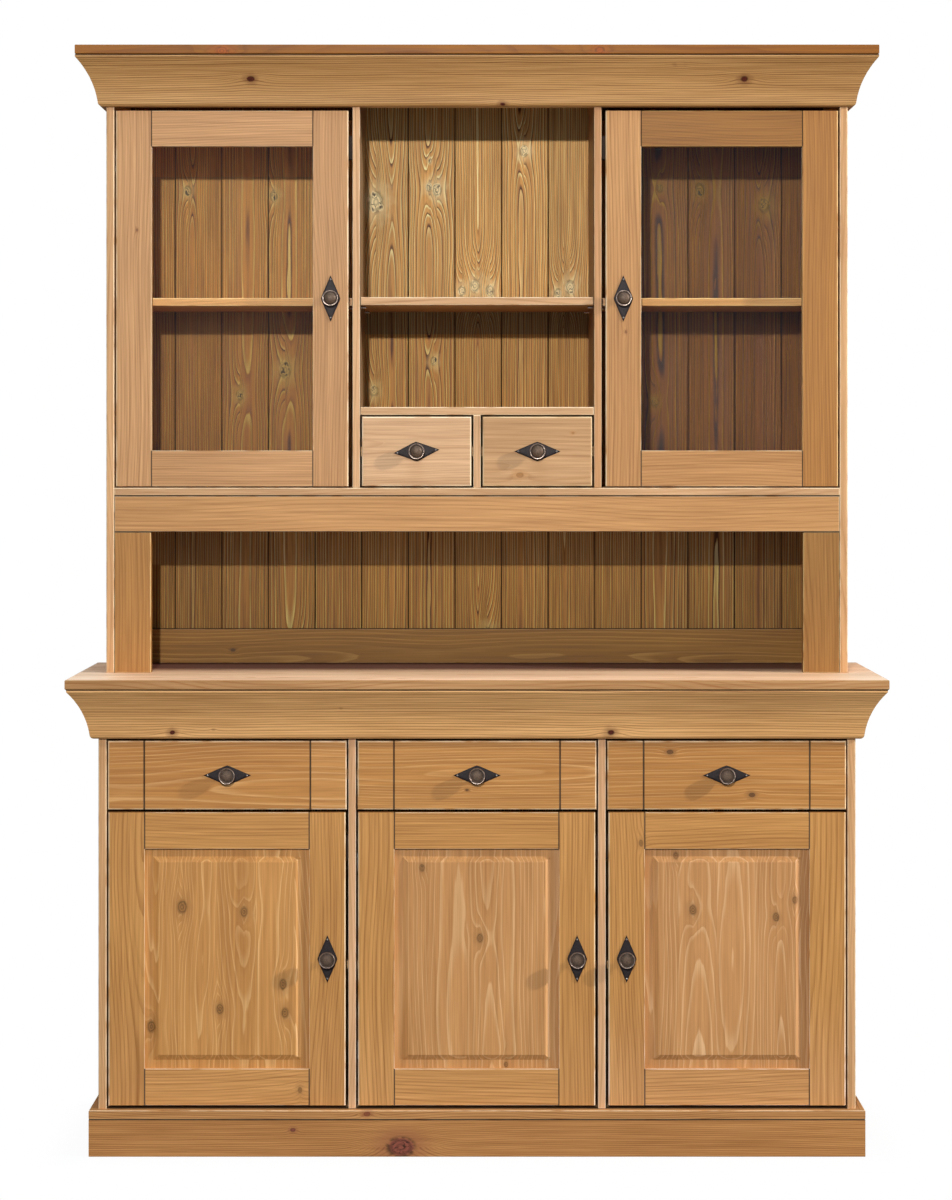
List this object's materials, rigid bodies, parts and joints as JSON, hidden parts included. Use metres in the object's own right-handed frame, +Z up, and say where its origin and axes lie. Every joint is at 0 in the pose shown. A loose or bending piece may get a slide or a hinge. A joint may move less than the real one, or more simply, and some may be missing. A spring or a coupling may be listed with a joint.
{
  "type": "buffet cabinet",
  "caption": "Pine buffet cabinet: panelled doors under drawers, a serving nook, and a hutch with glazed doors, an open middle bay, small drawers and a coved cornice.",
  "frame": {"origin": "on the floor, under the middle of the footprint", "axes": "+Z up, the front looks along -Y, +X to the right as the front is seen"},
  "size_m": [1.5, 0.5, 2.05],
  "materials": {
    "pine": "waxed honey pine",
    "pine_back": "waxed knotty pine",
    "pine_inside": "plain pine",
    "pine_mouldings": "waxed honey pine",
    "glass": "clear float glass",
    "iron": "hammered, dark waxed",
    "steel": "nickel plated",
    "catch": "brown plastic"
  },
  "bodies": {
    "root": {"base_back_boards": "pine_back", "base_dividers": "pine", "base_floor_board": "pine", "base_shelves": "pine", "base_sides": "pine", "cornice_board": "pine_mouldings", "cornice_cove_moulding": "pine_mouldings", "counter_cove_moulding": "pine_mouldings", "countertop": "pine_mouldings", "door_catches": "catch", "drawer_bay_boards": "pine", "drawer_runners": "pine_inside", "hinge_arms": "steel", "hutch_back_boards": "pine_back", "hutch_dividers": "pine", "hutch_floor_board": "pine", "hutch_shelves": "pine", "hutch_sides": "pine", "hutch_top_board": "pine", "nook_back_rail": "pine_back", "nook_frame": "pine", "plinth_boards": "pine_mouldings", "plinth_cap_moulding": "pine_mouldings", "shelf_pins": "steel", "top_rails": "pine_inside"},
    "base_drawer_left": {"base_drawer_left_box": "pine_inside", "base_drawer_left_front": "pine", "base_drawer_left_pull": "iron"},
    "base_drawer_middle": {"base_drawer_middle_box": "pine_inside", "base_drawer_middle_front": "pine", "base_drawer_middle_pull": "iron"},
    "base_drawer_right": {"base_drawer_right_box": "pine_inside", "base_drawer_right_front": "pine", "base_drawer_right_pull": "iron"},
    "base_door_left": {"base_door_left_frame": "pine", "base_door_left_hinge_cups": "steel", "base_door_left_panel": "pine", "base_door_left_pull": "iron"},
    "base_door_middle": {"base_door_middle_frame": "pine", "base_door_middle_hinge_cups": "steel", "base_door_middle_panel": "pine", "base_door_middle_pull": "iron"},
    "base_door_right": {"base_door_right_frame": "pine", "base_door_right_hinge_cups": "steel", "base_door_right_panel": "pine", "base_door_right_pull": "iron"},
    "glass_door_left": {"glass_door_left_frame": "pine", "glass_door_left_hinge_cups": "steel", "glass_door_left_pane": "glass", "glass_door_left_pull": "iron"},
    "glass_door_right": {"glass_door_right_frame": "pine", "glass_door_right_hinge_cups": "steel", "glass_door_right_pane": "glass", "glass_door_right_pull": "iron"},
    "small_drawer_left": {"small_drawer_left_box": "pine_inside", "small_drawer_left_front": "pine", "small_drawer_left_pull": "iron"},
    "small_drawer_right": {"small_drawer_right_box": "pine_inside", "small_drawer_right_front": "pine", "small_drawer_right_pull": "iron"}
  },
  "joints": [
    {"name": "base_door_left_hinge", "type": "hinge", "parent": "root", "child": "base_door_left", "pos_m": [-0.664, -0.185, 0.35975], "axis": [0, 0, -1], "range_deg": [0, 105]},
    {"name": "base_door_middle_hinge", "type": "hinge", "parent": "root", "child": "base_door_middle", "pos_m": [-0.20567, -0.185, 0.35975], "axis": [0, 0, -1], "range_deg": [0, 105]},
    {"name": "base_door_right_hinge", "type": "hinge", "parent": "root", "child": "base_door_right", "pos_m": [0.664, -0.185, 0.35975], "axis": [0, 0, 1], "range_deg": [0, 105]},
    {"name": "glass_door_left_hinge", "type": "hinge", "parent": "root", "child": "glass_door_left", "pos_m": [-0.6665, -0.04, 1.57925], "axis": [0, 0, -1], "range_deg": [0, 105]},
    {"name": "glass_door_right_hinge", "type": "hinge", "parent": "root", "child": "glass_door_right", "pos_m": [0.6665, -0.04, 1.57925], "axis": [0, 0, 1], "range_deg": [0, 105]},
    {"name": "base_drawer_left_slide", "type": "slide", "parent": "root", "child": "base_drawer_left", "axis": [0, -1, 0], "range_m": [0, 0.3]},
    {"name": "base_drawer_middle_slide", "type": "slide", "parent": "root", "child": "base_drawer_middle", "axis": [0, -1, 0], "range_m": [0, 0.3]},
    {"name": "base_drawer_right_slide", "type": "slide", "parent": "root", "child": "base_drawer_right", "axis": [0, -1, 0], "range_m": [0, 0.3]},
    {"name": "small_drawer_left_slide", "type": "slide", "parent": "root", "child": "small_drawer_left", "axis": [0, -1, 0], "range_m": [0, 0.18]},
    {"name": "small_drawer_right_slide", "type": "slide", "parent": "root", "child": "small_drawer_right", "axis": [0, -1, 0], "range_m": [0, 0.18]}
  ]
}
